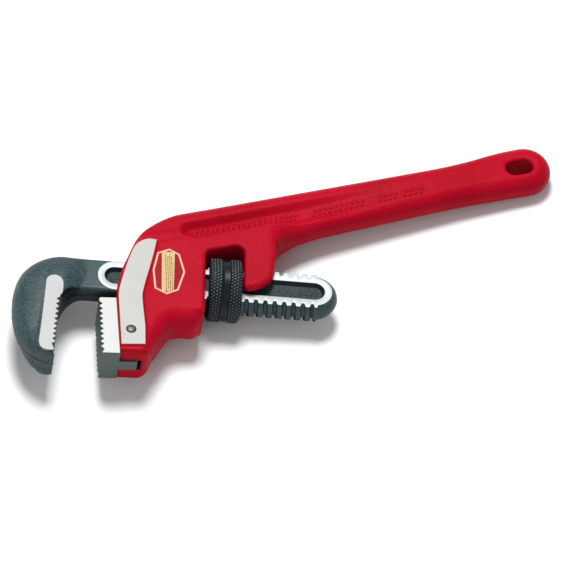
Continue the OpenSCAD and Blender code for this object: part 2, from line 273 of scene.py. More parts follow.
def prism(outline, low, high, bevel, both=True):
    """A plate between two heights, with a rounded edge on its top and, if asked, its bottom.
    Returns points, faces and a mark for each face: 1 on the flat faces, 0 on the sides."""
    outline = anticlockwise(outline)
    n = len(outline)
    levels = []
    if both:
        levels += [(bevel, low), (0.3 * bevel, low + 0.3 * bevel), (0, low + bevel)]
    else:
        levels += [(0, low)]
    levels += [(0, high - bevel), (0.3 * bevel, high - 0.3 * bevel), (bevel, high)]
    points = np.vstack([np.column_stack([inset(outline, d), np.full(n, z)]) for d, z in levels])
    faces = [list(range(n))[::-1]]
    marks = [1]
    for level in range(len(levels) - 1):
        for i in range(n):
            a, b = level * n + i, level * n + (i + 1) % n
            faces.append([a, b, b + n, a + n])
            marks.append(0)
    faces.append([(len(levels) - 1) * n + i for i in range(n)])
    marks.append(1)
    return points, faces, marks


def joined(parts):
    """Several (points, faces, marks) as one."""
    points, faces, marks, base = [], [], [], 0
    for p, f, m in parts:
        points.append(np.asarray(p, float))
        faces += [[base + v for v in face] for face in f]
        marks += list(m)
        base += len(p)
    return np.vstack(points), faces, marks


def mirrored(part):
    """The same part on the other side of the wrench."""
    points, faces, marks = part
    return points * np.array([1, 1, -1]), [face[::-1] for face in faces], marks


def lathe(profile, steps):
    """A solid of revolution about Z from (radius, height) pairs that start and end on the axis."""
    profile = np.asarray(profile, float)
    angles = np.linspace(0, 2 * np.pi, steps, endpoint=False)
    rings = profile[1:-1]
    points = [[0, 0, profile[0, 1]]]
    for r, z in rings:
        points += [[r * math.cos(a), r * math.sin(a), z] for a in angles]
    points.append([0, 0, profile[-1, 1]])
    last = len(points) - 1
    faces = [[0, 1 + (i + 1) % steps, 1 + i] for i in range(steps)]
    for k in range(len(rings) - 1):
        a = 1 + k * steps
        faces += [[a + i, a + (i + 1) % steps, a + steps + (i + 1) % steps, a + steps + i]
                  for i in range(steps)]
    a = 1 + (len(rings) - 1) * steps
    faces += [[a + i, a + (i + 1) % steps, last] for i in range(steps)]
    return np.array(points), faces


# ---------------------------------------------------------------- materials

class Look:
    """A Principled material with small helpers for its nodes."""

    def __init__(self, name, **constants):
        self.material = bpy.data.materials.new(name)
        self.material.use_nodes = True
        self.tree = self.material.node_tree
        self.shader = self.tree.nodes["Principled BSDF"]
        for key, value in constants.items():
            self.shader.inputs[key.replace("_", " ")].default_value = value
        self.place = self.tree.nodes.new("ShaderNodeTexCoord").outputs["Object"]

    def link(self, output, target):
        self.tree.links.new(output, target)

    def scaled(self, stretch):
        node = self.tree.nodes.new("ShaderNodeMapping")
        node.inputs["Scale"].default_value = stretch
        self.link(self.place, node.inputs["Vector"])
        return node.outputs["Vector"]

    def noise(self, size_mm, detail=3, rough=0.55, stretch=None):
        node = self.tree.nodes.new("ShaderNodeTexNoise")
        node.inputs["Scale"].default_value = 1000 / size_mm
        node.inputs["Detail"].default_value = detail
        node.inputs["Roughness"].default_value = rough
        self.link(self.place if stretch is None else self.scaled(stretch), node.inputs["Vector"])
        return node.outputs["Fac"]

    def attribute(self, name):
        node = self.tree.nodes.new("ShaderNodeAttribute")
        node.attribute_name = name
        return node.outputs["Fac"]

    def ramp(self, source, stops):
        node = self.tree.nodes.new("ShaderNodeValToRGB")
        while len(node.color_ramp.elements) < len(stops):
            node.color_ramp.elements.new(0.5)
        for element, (at, colour) in zip(node.color_ramp.elements, stops):
            element.position = at
            element.color = (*colour, 1) if hasattr(colour, "__len__") else (colour,) * 3 + (1,)
        self.link(source, node.inputs["Fac"])
        return node.outputs["Color"]

    def mix(self, factor, first, second, mode="MIX"):
        node = self.tree.nodes.new("ShaderNodeMix")
        node.data_type = "RGBA"
        node.blend_type = mode
        for socket, value in ((node.inputs["Factor"], factor), (node.inputs[6], first),
                              (node.inputs[7], second)):
            if isinstance(value, bpy.types.NodeSocket):
                self.link(value, socket)
            else:
                socket.default_value = (*value, 1) if hasattr(value, "__len__") else value
        return node.outputs[2]

    def colour(self, output):
        self.link(output, self.shader.inputs["Base Color"])

    def roughness(self, source, low, high):
        node = self.tree.nodes.new("ShaderNodeMapRange")
        node.inputs["From Min"].default_value = 0.3
        node.inputs["From Max"].default_value = 0.7
        node.inputs["To Min"].default_value = low
        node.inputs["To Max"].default_value = high
        self.link(source, node.inputs["Value"])
        self.link(node.outputs["Result"], self.shader.inputs["Roughness"])

    def bumps(self, *layers):
        """Each layer is (height output, strength, depth in mm)."""
        normal = None
        for height, strength, depth in layers:
            node = self.tree.nodes.new("ShaderNodeBump")
            node.inputs["Strength"].default_value = strength
            node.inputs["Distance"].default_value = depth * MM
            self.link(height, node.inputs["Height"])
            if normal is not None:
                self.link(normal, node.inputs["Normal"])
            normal = node.outputs["Normal"]
        self.link(normal, self.shader.inputs["Normal"])


def paint_look():
    look = Look("handle_paint", Metallic=0.0, Specular_IOR_Level=0.05)
    broad = look.noise(38, 2)
    grain = look.noise(1.8, 4, 0.62)
    fine = look.noise(0.55, 2)
    base = look.ramp(broad, [(0.32, (0.35, 0.0014, 0.012)), (0.68, (0.41, 0.0022, 0.016))])
    speck = look.ramp(grain, [(0.25, (0.72, 0.55, 0.6)), (0.42, (1, 1, 1))])
    look.colour(look.mix(1.0, base, speck, "MULTIPLY"))
    look.roughness(grain, 0.34, 0.5)
    look.bumps((look.noise(4.5, 3), 0.45, 0.4), (grain, 0.85, 0.34), (fine, 0.4, 0.08))
    return look.material


def forged_look(name, low, high, roughness, bump):
    look = Look(name, Metallic=0.0, Specular_IOR_Level=0.25)
    grain = look.noise(1.3, 4, 0.62)
    broad = look.noise(22, 3)
    base = look.ramp(grain, [(0.34, low), (0.66, high)])
    shade = look.ramp(broad, [(0.3, (0.8, 0.82, 0.82)), (0.7, (1.1, 1.1, 1.1))])
    steel = look.mix(1.0, base, shade, "MULTIPLY")
    # Painted shade: the shade attribute mixes in near-black where a mesh marks it.
    look.colour(look.mix(look.attribute("shade"), steel, (0.004, 0.005, 0.008)))
    look.roughness(look.noise(0.8, 3), roughness - 0.07, roughness + 0.1)
    look.bumps((look.noise(5, 2), 0.4, 0.3), (grain, bump, 0.2))
    return look.material


def ground_look(name, low, high, roughness, lines=(1, 14, 1), metal=0.3):
    """Ground steel, whose fine lines run along one axis."""
    look = Look(name, Metallic=metal, Specular_IOR_Level=0.4)
    streak = look.noise(2.2, 4, 0.6, lines)
    cloud = look.noise(16, 3)
    base = look.ramp(streak, [(0.3, low), (0.7, high)])
    shade = look.ramp(cloud, [(0.3, (0.93, 0.93, 0.93)), (0.7, (1, 1, 1))])
    look.colour(look.mix(1.0, base, shade, "MULTIPLY"))
    look.roughness(streak, roughness - 0.05, roughness + 0.09)
    look.bumps((streak, 0.12, 0.05), (look.noise(1.1, 2), 0.08, 0.05))
    return look.material


def nut_look():
    look = Look("nut_steel", Specular_IOR_Level=0.16)
    grain = look.noise(0.9, 3)
    worn = look.ramp(look.attribute("shade"), [(0.66, 0.0), (0.95, 1.0)])
    dark = look.ramp(grain, [(0.3, (0.003, 0.006, 0.008)), (0.7, (0.010, 0.016, 0.019))])
    look.colour(look.mix(worn, dark, (0.34, 0.36, 0.37)))
    metal = look.tree.nodes.new("ShaderNodeMapRange")
    metal.inputs["To Min"].default_value = 0.0
    metal.inputs["To Max"].default_value = 0.6
    look.link(worn, metal.inputs["Value"])
    look.link(metal.outputs["Result"], look.shader.inputs["Metallic"])
    look.roughness(grain, 0.28, 0.42)
    look.bumps((grain, 0.3, 0.06))
    return look.material


def film_look(name, low, high, roughness):
    look = Look(name, Metallic=0.0, Specular_IOR_Level=0.08)
    grain = look.noise(1.4, 4, 0.65)
    look.colour(look.ramp(grain, [(0.36, low), (0.64, high)]))
    look.roughness(grain, roughness - 0.06, roughness + 0.08)
    look.bumps((look.noise(3, 2), 0.1, 0.05))
    return look.material


def floor_look():
    look = Look("floor_paper", Roughness=0.9, Specular_IOR_Level=0.1)
    grain = look.noise(300, 2)
    look.colour(look.ramp(grain, [(0.3, (0.86, 0.86, 0.86)), (0.7, (0.88, 0.88, 0.88))]))
    return look.material


paint = paint_look()
forged = forged_look("forged_steel", (0.016, 0.032, 0.036), (0.052, 0.088, 0.094), 0.40, 0.7)
recess_dark = forged_look("recess_steel", (0.006, 0.014, 0.016), (0.036, 0.060, 0.066), 0.6, 1.0)
ground = ground_look("pad_steel", (0.335, 0.33, 0.315), (0.40, 0.395, 0.375), 0.5)
rim_ground = ground_look("rim_steel", (0.42, 0.45, 0.46), (0.50, 0.535, 0.545), 0.5)
jaw_ground = ground_look("jaw_face_steel", (0.42, 0.42, 0.415), (0.50, 0.50, 0.49), 0.5, (14, 1, 1))
hook_ground = ground_look("hook_face_steel", (0.33, 0.33, 0.33), (0.39, 0.39, 0.395), 0.5, (14, 1, 1))
jaw_side = ground_look("jaw_side_steel", (0.06, 0.08, 0.076), (0.10, 0.13, 0.125), 0.45, (1, 1, 9))
pin_metal = ground_look("pin_metal", (0.09, 0.09, 0.088), (0.17, 0.165, 0.16), 0.45, (1, 1, 1), 0.6)
# Near-black painted shade for the tongue's slot and the gap round the pin.
gap_painted_shade = film_look("gap_painted_shade", (0.012, 0.010, 0.010), (0.03, 0.026, 0.026), 0.7)
nut_steel = nut_look()
spring_steel = ground_look("spring_metal", (0.35, 0.36, 0.37), (0.5, 0.5, 0.52), 0.3, (1, 1, 6), 0.9)
cream_strip = film_look("label_strip", (0.50, 0.37, 0.17), (0.62, 0.46, 0.24), 0.5)
border = film_look("label_border", (0.62, 0.36, 0.27), (0.70, 0.45, 0.35), 0.5)
dark_red = film_look("label_red", (0.25, 0.004, 0.010), (0.34, 0.008, 0.015), 0.5)
ink = film_look("label_ink", (0.10, 0.022, 0.015), (0.20, 0.05, 0.03), 0.5)


# ---------------------------------------------------------------- the handle casting

GRIP_END = (180.8, 112.7)
GRIP_ANGLE = 18.6
GRIP_HALF = 9.0
HOUSING_HALF = 13.8
PAD_TOP = 15.0
HANG_HOLE = [(174.0, 109.4), (180.0, 111.4)]
HANG_HOLE_R = 5.2
CHANNEL = [(-22.3, 37.0), (118, 85.6)]
CHANNEL_DEPTH = 4.5
SHANK_SLOT = [(-90, -18.2, -7), (60, 15.9, 7)]
SPRING_SEAT_X = -33
SPRING_SEAT_R = 5.1
SPRING_SEAT_Y = (-28.0, -15)
SEAT = (-68.5, -20.5)
HEEL_LEAN = 4.2
TONGUE_SLOT = [(-5, -60, -4.05), (13.5, -15, 4.05)]
CASTING_BOX = np.array([(-71.0, -67.0, -16.5), (199.0, 131.0, 16.5)])
STUD_PITCH = 1.7
STUD_ROW = 1.6
STUD_GROUPS = [(0, 20, 3.3), (77.5, 10, 2.8), (119.5, 4, 2.4), (136, 4, 2.2)]


def in_grip(points):
    return turned(points, GRIP_END, GRIP_ANGLE)


def handle_outline():
    """The casting's outline, anticlockwise from the grip's end, with the radius of its edge."""
    end = in_grip(arc(0, 0.5, 16, -90, 90, 26))
    upper = spline([(0, 16.5), (-10, 16.3), (-20, 15.5), (-33, 13.9), (-50, 12.8), (-70, 12.6)], 6)
    upper = in_grip(upper)
    bend = [(110, 46.5), (118, 46.3), (128, 46.1), (137, 46.2),
            (145, 46.7), (152, 47.1), (158, 47.1), (163, 46.9)]
    corner = spline([(-12.7 + r * math.cos(math.radians(a)), 11.8 + r * math.sin(math.radians(a)))
                     for a, r in bend], 4)
    side = [(-58.6, 21.8), (-60.2, 16.4), (-62.4, 9.6), (-64.9, 2.5),
            (-66.7, -5), (-68.2, -13), (-68.5, -20.5)]
    foot = [(-68.4, -22), (-65.4, -62.6), (-65.2, -63.8)]
    toe = arc(-52.6, -57.0, 6.8, 270, 338, 8)
    back = spline([(-44.6, -54.5), (-41.8, -50.5), (-40.2, -47.5), (-38, -43.4), (-35.5, -39.0),
                   (-32.5, -36.2), (-28.5, -35.2)], 5)
    belly = arc(-24.1, -25.7, 9.5, 270, 360, 12)
    window = np.vstack([[(-14.6, -12), (-14.6, 10)], arc(-9.6, 16.4, 5, 180, 100, 8),
                        arc(4.0, 20.8, 5, 100, 0, 10), [(9.0, 8), (9.0, -5)]])
    lug = np.vstack([arc(10.9, 9.4, 16.4, 270, 355, 20), [(27.7, 14), (28.1, 19)]])
    web = in_grip([(-172.4, -35), (-170.2, -29.8), (-167.2, -26.4), (-162, -24.2), (-155, -22.4),
                   (-145, -20.6), (-136.6, -19.5), (-110, -18.1), (-80, -16.6), (-50, -15.3), (-33, -15.2),
                   (-20, -15.2), (-10, -15.3), (0, -15.5)])
    web = spline(web, 4)
    return outline_with_radii([
        (end, 9, 9), (upper, 9, 9), (corner, 9, 1.4), (side, 0.7, 0.5), (foot, 0.5, 1.5),
        (toe, 2.5, 7), (back, 8, 12), (belly[:9], 12.5, 9.5), (belly[9:], 8.6, 2.6),
        (window[:2], 2.2, 2.0), (window[2:], 2.0, 2.0), (lug, 4.2, 3.0),
        (web[:12], 3.0, 8.5), (web[12:], 8.5, 9)])


def pads_outline():
    left = spline([(-44.9, 24), (-50.2, 24.2), (-55.7, 21.1), (-59.5, 14.8), (-63.5, 0.6), (-66.9, -15.5),
                   (-67.5, -22)], 5)
    right = spline([(-50.7, -44), (-52.7, -24), (-52.2, -15), (-47.3, 9.5), (-44.9, 24)], 5)
    return np.vstack([left, [(-64.9, -60.3), (-50.3, -58.8)], right[:-1]])


def handle_half(x, y):
    """Half thickness of the casting over a plan position."""
    c, s = math.cos(math.radians(GRIP_ANGLE)), math.sin(math.radians(GRIP_ANGLE))
    across = -(x - GRIP_END[0]) * s + (y - GRIP_END[1]) * c
    blend = smooth_step((y - 26) / 16)
    slope = smooth_step((-0.5 - across) / 14.5) * smooth_step((31.5 + 13 * blend - x) / (2.5 + 20 * blend))
    half = GRIP_HALF + (HOUSING_HALF - GRIP_HALF) * slope
    half = half + 0.5 * smooth_step((12 - x) / 60) * (1 - slope)
    beside = segment_distance(x, y, *CHANNEL)
    depth = CHANNEL_DEPTH - (CHANNEL_DEPTH - 0.2) * smooth_step((x - 5) / 112)
    half = half - depth * smooth_step((9.4 - beside) / 6.4)
    away, _ = outline_distance(x, y, pads_outline())
    return half + (PAD_TOP - half) * smooth_step((1.3 - away) / 1.3)


def heel_point(points):
    """Points of the heel jaw's leaning frame, in the wrench's own frame."""
    return turned(points, SEAT, HEEL_LEAN)


def in_heel(x, y):
    """A plan position, in the heel jaw's leaning frame."""
    lean = math.radians(HEEL_LEAN)
    u = (x - SEAT[0]) * math.cos(lean) + (y - SEAT[1]) * math.sin(lean)
    v = -(x - SEAT[0]) * math.sin(lean) + (y - SEAT[1]) * math.cos(lean)
    return u, v


def box_distance(u, v, w, low, high):
    """Distance to a box, negative inside, rough but right near its faces."""
    parts = [low[0] - u, u - high[0], low[1] - v, v - high[1], low[2] - w, w - high[2]]
    out = parts[0]
    for part in parts[1:]:
        out = np.maximum(out, part)
    return out


def handle_field(step):
    x, y, z = grid(CASTING_BOX, step)
    outline, radii = handle_outline()
    plan, radius = outline_distance(x, y, outline, radii)
    half = handle_half(x, y)
    radius = np.minimum(radius, half - 0.2)
    hole = segment_distance(x, y, *HANG_HOLE) - HANG_HOLE_R
    heel_u, heel_v = in_heel(x, y)
    x, y, plan, radius, half, heel_u, heel_v, hole = upright(x, y, plan, radius, half, heel_u, heel_v, hole)
    solid = forging(plan, radius, half, z)
    lip = 0.9 + 4.6 * smooth_step((x - 8) / 3) * smooth_step((4 - y) / 8)
    solid = cut(solid, box_distance(x, y, z, *SHANK_SLOT), lip)
    solid = cut(solid, box_distance(heel_u, heel_v, z, *TONGUE_SLOT), 0.7)
    seat_ends = np.maximum(SPRING_SEAT_Y[0] - y, y - SPRING_SEAT_Y[1])
    seat = np.maximum(np.hypot(x - SPRING_SEAT_X, z) - SPRING_SEAT_R, seat_ends)
    solid = cut(solid, seat, 0.5)
    return cut(solid, hole, 2.6)


def handle_pieces():
    step = 0.68
    points, faces = skin(handle_field(step), CASTING_BOX[0], step)
    # Painted shade: the faces inside the tongue's slot take the near-black material.
    slot_shade = slot_shade_faces(points[faces].mean(1))
    casting = add_piece("handle_casting", points, faces, [paint, gap_painted_shade], slot_shade)
    plate = prism(pads_outline(), PAD_TOP - 0.5, PAD_TOP + 0.03, 0.22, both=False)
    pads = add_piece("jaw_side_pads", *joined([plate, mirrored(plate)])[:2], [ground], sharp=15)
    return casting, pads, raised_studs()


def slot_shade_faces(middle):
    """Marks the casting's faces inside the tongue's slot, which get near-black painted shade."""
    x, y, z = middle.T
    u, v = in_heel(x, y)
    (_, _, _), (slot_end, slot_top, slot_half) = TONGUE_SLOT
    inside = (u > 0) & (u < slot_end + 0.2) & (v < slot_top) & (np.abs(z) < slot_half + 0.15)
    return inside & (y > -63.6)


def raised_studs():
    """Plain raised studs on the channel's floor, in groups, on both sides."""
    start, end = np.array(CHANNEL[0], float), np.array(CHANNEL[1], float)
    along = (end - start) / np.linalg.norm(end - start)
    across = np.array([-along[1], along[0]])
    angle = math.degrees(math.atan2(along[1], along[0]))
    parts = []
    for first, count, tall in STUD_GROUPS:
        for i in range(2 * count):
            row = STUD_ROW if i % 2 else -STUD_ROW
            centre = start + along * (first + STUD_PITCH * i) + across * row
            floor = float(handle_half(np.array([centre[0]]), np.array([centre[1]]))[0])
            stud = turned(pill(1.1, tall / 2), centre, angle)
            stud = prism(stud, floor - 0.8, floor + 0.6, 0.4, both=False)
            parts += [stud, mirrored(stud)]
    return add_piece("channel_studs", *joined(parts)[:2], [paint], sharp=60)


# ---------------------------------------------------------------- the hook jaw

CROWN = (-99.3, -18.1, 31.3)
BACK = (-51.0, -27.5, 80.0)
NOSE = (-103.8, -43.8, 24.6)
THROAT = (-87.5, -26.3, 13.6)
HOOK_HALF = 12.0
HOOK_LEAN = 3.7
HOOK_TOP = (-102.75, -24.0)
PITCH = 3.95
NECK_HALF = 12.7
NECK_JOIN_X = -62
SHANK_HALF = 6.7
HOOK_BOX = np.array([(-131.5, -70.0, -13.2), (-60.0, 16.0, 13.2)])


def hook_back():
    """The hook's outer outline, as its crown, its back and its nose."""
    shoulder = spline([(-128.6, -7.8), (-129.9, -14.0), (-130.7, -20.0), (-131.0, -26.0)], 5)
    crown = np.vstack([arc(*CROWN, 88, 152, 24), shoulder])
    back = arc(*BACK, 180, 197.2, 16)
    nose = arc(*NOSE, 199, 268, 24)
    return crown, back, nose


def tooth_line(start, lean, count, depth, side):
    """A toothed edge that runs down from a point, its roots towards side."""
    c, s = math.cos(math.radians(lean)), math.sin(math.radians(lean))
    points = []
    for i in range(count):
        for k, d in ((0.0, 0.12), (0.06, 0.0), (0.16, 0.0), (0.58, depth - 0.1), (0.64, depth)):
            run = (i + k) * PITCH
            points.append((start[0] - run * s + side * d * c, start[1] - run * c - side * d * s))
    return np.array(points)


def hook_half(x, y, crown, back, nose):
    """Half thickness of the forging over a plan position: thick in the hook, thin at the neck."""
    spine = np.vstack([[(-70, NECK_HALF)], crown, back, nose])
    rise = np.concatenate([np.zeros(len(spine) - len(nose)), np.linspace(0, 1.5, len(nose))])
    edge, tip = line_distance(x, y, spine, 6.4 + (HOOK_HALF - 6.4) * smooth_step(rise))
    head = tip + (HOOK_HALF - tip) * (1 - (1 - np.clip(edge / 21, 0, 1)) ** 2)
    width = 12 + 4.5 * smooth_step((y + 16) / 18)
    in_head = smooth_step((-101.5 + width - x) / width)
    half = SHANK_HALF - 0.06 + (head - SHANK_HALF) * in_head
    plate = outline_distance(x, y, hook_face_outline())[0]
    return half + (HOOK_HALF - half) * smooth_step((1.6 - plate) / 1.6)


def hook_field(step):
    x, y, z = grid(HOOK_BOX, step)
    crown, back, nose = hook_back()
    throat = arc(*THROAT, 168, 90, 16)
    outline, radii = outline_with_radii([
        ([(NECK_JOIN_X, NECK_HALF - 0.02), (-80, NECK_HALF)], 2.0, 2.4), (crown, 3.4, 7.5),
        (back, 7.5, 7), (nose, 7, 2.5), ([(-107.2, -66.9), (-106.6, -64), (-103.8, -24)], 0.8, 0.8),
        (throat, 1.0, 1.8), ([(-80, -NECK_HALF), (NECK_JOIN_X, -NECK_HALF + 0.02)], 2.2, 1.8)])
    plan, radius = outline_distance(x, y, outline, radii)
    half = hook_half(x, y, crown, back, nose)
    rim = segment_distance(x, y, (LEFT_X + 0.2, 0), (-40, 0))
    x, plan, radius, half, rim = upright(x, plan, radius, half, rim)
    draft = 0.10 * np.abs(z) * smooth_step((x + 104) / 10)
    parting = 0.28 * np.exp(-(z / 0.55) ** 2)
    radius = np.minimum(radius, half - 0.3)
    solid = forging(plan + draft - parting, radius, half, z)
    recess = np.maximum(rim - 7.5, 3.55 - np.abs(z))
    return cut(solid, recess, 0.6)


def hook_face_outline():
    """The ground face beside the hook's teeth."""
    left = [(-111.6, -14.0), (-112.3, -24), (-113.6, -42), (-115.2, -60.6), (-114.5, -64.3),
            (-112.4, -66.4), (-109.6, -67.1), (-106.6, -67.0)]
    teeth = tooth_line((HOOK_TOP[0] + 0.2, HOOK_TOP[1]), HOOK_LEAN, 10, 1.9, -1)[::-1]
    right = [(-102.6, -23.6), (-101.1, -21.0), (-100.7, -17), (-101.0, -12.4)]
    top = arc(-106.3, -12.8, 5.3, 4, 176, 14)
    return np.vstack([left, [(-105.4, -66.0)], teeth, right, top])


THREAD_PITCH = 5.75
THREAD_CREST = 14.5
THREAD_ROOT = 12.2
THREAD_PHASE = 14.7
THREAD_FROM, THREAD_TO = -38.0, 55.6
TAIL_X = 52.6
LEFT_X = -68.6
RECESS_FLOOR = 3.7
TAIL_NOSE_R = 10.95
CREST_HALF = 1.18
FLANK = 0.95
MARK_X = 44.5
MARK_PITCH = 3.1


def crest_distance(x, crest):
    """Distance along the shank to the nearest turn of a thread."""
    return abs((x - crest + THREAD_PITCH / 2) % THREAD_PITCH - THREAD_PITCH / 2)


def edge_radius(x, z, side, turn):
    """Distance of the shank's outer edge from the recess's axis, at a height z.
    side is -1 below and 1 above. turn is 0 on the straight runs and 1 round the tail."""
    plain = NECK_HALF - 1.5 * abs(z) / SHANK_HALF
    nose = TAIL_NOSE_R + (THREAD_CREST - TAIL_NOSE_R) * (1 - (abs(z) / SHANK_HALF) ** 2.4)
    theta = math.asin(min(1.0, abs(z) / THREAD_CREST)) * math.copysign(1, z)
    crest = THREAD_PHASE + (THREAD_PITCH / 2 if side > 0 else 0)
    crest += side * THREAD_PITCH * theta / (2 * math.pi)
    height = 1 - float(smooth_step((crest_distance(x, crest) - CREST_HALF) / FLANK))
    r = THREAD_ROOT + (THREAD_CREST - THREAD_ROOT) * height
    thread = math.sqrt(r * r - z * z)
    inside = float(smooth_step((x - THREAD_FROM) / 1.2))
    if turn == 0:
        return plain + (thread - plain) * inside
    fade = float(smooth_step((x - THREAD_TO + 1.0) / 1.0))
    return max(nose, thread * (1 - fade))


def shank_reach(station, z):
    """How far the shank's surface is from the recess's axis, at a station and a height.
    A station whose turn is below 0 is on the shank's round end inside the neck."""
    cx, angle, side, turn = station
    if turn < 0:
        return 11.1 + (SHANK_HALF - abs(z)) * 0.2
    if turn == 0:
        reach = edge_radius(cx, z, side, 0)
    else:
        reach = THREAD_CREST
        for _ in range(2):
            reach = edge_radius(cx + reach * math.cos(math.radians(angle)), z, side, 1)
    return reach + 0.16 * math.exp(-(z / 0.3) ** 2)


def shank_part():
    """The shank as rings that follow its ground rim once round.
    Returns points, faces, a mark for each face and a shade for each point."""
    fine = 0.27
    plain_until = THREAD_FROM - 1
    below = list(np.arange(LEFT_X, plain_until, 1.5)) + list(np.arange(plain_until, TAIL_X, fine))
    stations = [(x, -90.0, -1, 0.0) for x in below]
    stations += [(TAIL_X, a, -1 if a < 0 else 1, 1.0) for a in np.linspace(-90, 90, 76)]
    stations += [(x, 90.0, 1, 0.0) for x in below[::-1]]
    stations += [(LEFT_X, a, 1 if a < 180 else -1, -1.0) for a in np.linspace(96, 264, 29)]
    heights = np.array([6.62, 6.1, 5.2, 4.0, 2.7, 1.4, 0.5, 0.22, 0.0])
    heights = np.concatenate([heights, -heights[-2::-1]])
    recess = [(0.0, RECESS_FLOOR), (3.8, RECESS_FLOOR), (5.0, RECESS_FLOOR + 0.15),
              (5.45, RECESS_FLOOR + 0.7), (6.3, SHANK_HALF - 0.35), (6.5, SHANK_HALF - 0.1),
              (6.72, SHANK_HALF)]
    recess_shade = [0.0, 0.0, 0.5, 0.8, 0.75, 0.3, 0.0, 0.0, 0.0]
    points = []
    for station in stations:
        cx, angle, _, turn = station
        c, s = math.cos(math.radians(angle)), math.sin(math.radians(angle))
        top = shank_reach(station, SHANK_HALF)
        grow = 1 - 0.08 * c if turn < 0 else 1.0
        half = [(r * grow, z) for r, z in recess]
        half += [(top - 0.22, SHANK_HALF), (top - 0.06, SHANK_HALF - 0.03)]
        rim = [(shank_reach(station, z), z) for z in heights]
        ring = half + rim + [(r, -z) for r, z in half[::-1]]
        points += [(cx + r * c, r * s, z) for r, z in ring]
    shade = (recess_shade + [0.0] * len(heights) + recess_shade[::-1]) * len(stations)
    count = len(points) // len(stations)
    faces, marks = [], []
    for i in range(len(stations)):
        j = (i + 1) % len(stations)
        for k in range(count - 1):
            faces.append([i * count + k, j * count + k, j * count + k + 1, i * count + k + 1])
            inner = min(k, count - 2 - k)
            marks.append(2 if inner < 5 else 1 if inner < 8 else 0)
    return np.array(points), faces, marks, np.array(shade)


def hook_pieces():
    """The hook, its ground faces and the shank. Painted shade darkens the hook's throat and the neck's
    underside, and a dark line is painted along the nose's parting line.
    """
    step = 0.6
    points, faces = skin(hook_field(step), HOOK_BOX[0], step)
    inner = np.vstack([[(-101.5, -30)], arc(*THROAT, 168, 90, 16), [(NECK_JOIN_X, -NECK_HALF)]])
    x, y, z = points.T
    # Painted shade along the throat and the neck's underside.
    below = smooth_step(np.where(z > 0, (5.2 - z) / 3.4, (6.9 + z) / 2.0))
    below = np.maximum(below, smooth_step((-88 - x) / 6))
    painted_shade = (1 - smooth_step((line_distance(x, y, inner)[0] - 0.3) / 1.5)) * (0.1 + 0.9 * below)
    painted_shade = painted_shade * smooth_step((-63 - x) / 12)
    # A dark line painted along the nose's parting line.
    parting = 0.8 * np.exp(-((z - 0.2) / 0.5) ** 2) * smooth_step((-38 - y) / 14)
    painted_shade = np.maximum(painted_shade, parting * smooth_step((-107.6 - x) / 1.5))
    head = add_piece("hook_forging", points, faces, [forged], shade=painted_shade)
    face = prism(hook_face_outline(), -HOOK_HALF - 0.04, HOOK_HALF + 0.04, 0.25)
    strip = add_piece("hook_teeth", *face[:2], [jaw_side, hook_ground], face[2], sharp=15)
    points, faces, marks, shade = shank_part()
    steels = [forged, rim_ground, recess_dark]
    shank = add_piece("hook_shank", points, faces, steels, marks, sharp=32, shade=shade)
    return head, strip, shank, shank_mark()


def shank_mark():
    """Plain raised dots near the recess's right end, on both sides."""
    parts = []
    for i in range(4):
        dot = pill(0.8, 1.9) + np.array([MARK_X + MARK_PITCH * i, 0.2])
        plate = prism(dot, RECESS_FLOOR - 0.3, RECESS_FLOOR + 0.5, 0.25, both=False)
        parts += [plate, mirrored(plate)]
    return add_piece("recess_dots", *joined(parts)[:2], [recess_dark], sharp=60)


# ---------------------------------------------------------------- the heel jaw, pin and label

HEEL_DROP = 1.4
HEEL_WIDE = 10.9
HEEL_FRONT_LEAN = 1.1
HEEL_LONG = 43.6
HEEL_HALF = 12.2
TONGUE_HALF = 3.95
PIN_AT = (7.2, -28.1)
LABEL = [(-37.1, 18.5), (-44.4, 14.8), (-47, 1), (-45.6, -13.6),
         (-38, -17.6), (-30.9, -13.7), (-27.1, 1), (-30.7, 14.8)]
LABEL_STRIP = [(-41.6, 15.8), (-41.2, -15.4), (-33.9, -15.4), (-33.7, 15.8)]
DASH_COLUMNS = [-0.8, 0.45, 1.65, 2.85]
DASH_END_Y = 13.2


def heel_pieces():
    bottom = -HEEL_DROP - HEEL_LONG
    teeth = tooth_line((-HEEL_WIDE, -HEEL_DROP - 2.4), HEEL_FRONT_LEAN, 10, 1.85, 1)
    top = [(0, -HEEL_DROP), (-HEEL_WIDE + 1.0, -HEEL_DROP),
           (-HEEL_WIDE + 0.2, -HEEL_DROP - 0.8), (-HEEL_WIDE, -HEEL_DROP - 1.8)]
    block = np.vstack([top, teeth, [(-HEEL_WIDE - 0.5, bottom + 0.1), (0, bottom)]])
    body = prism(heel_point(block), -HEEL_HALF, HEEL_HALF, 0.25)
    tongue = [(-1, bottom + 0.03), (10.5, bottom + 0.03), (11.5, bottom + 1),
              (11.5, -18), (9.5, -16), (-1, -16)]
    points, faces, marks = prism(heel_point(tongue), -TONGUE_HALF, TONGUE_HALF, 0.2)
    points, faces, marks = joined([body, (points, faces, [0] * len(marks))])
    jaw = add_piece("heel_jaw_steel", points, faces, [jaw_side, jaw_ground], marks, sharp=15)

    centre = np.array([*heel_point([PIN_AT])[0], 0])
    profile = [(0, -15.6), (0.5, -15.59), (1.2, -15.52), (1.9, -15.36),
               (2.5, -15.1), (2.85, -14.6), (2.95, -13.9)]
    profile = profile + [(r, -z) for r, z in profile[::-1]]
    points, faces = lathe(profile, 48)
    pin = add_piece("heel_jaw_pin_steel", points + centre, faces, [pin_metal], sharp=50)
    # A thin near-black disc under the pin's dome: painted shade in the gap round the pin.
    shade_disc = [(0, 14.6), (3.2, 14.6), (3.2, 15.05), (3.1, 15.08), (2.0, 15.06), (0, 15.06)]
    points, faces = lathe(shade_disc, 48)
    ring = (points + centre, faces, [0] * len(faces))
    gap = add_piece("pin_gap_shade", *joined([ring, mirrored(ring)])[:2], [gap_painted_shade], sharp=40)
    return jaw, pin, gap


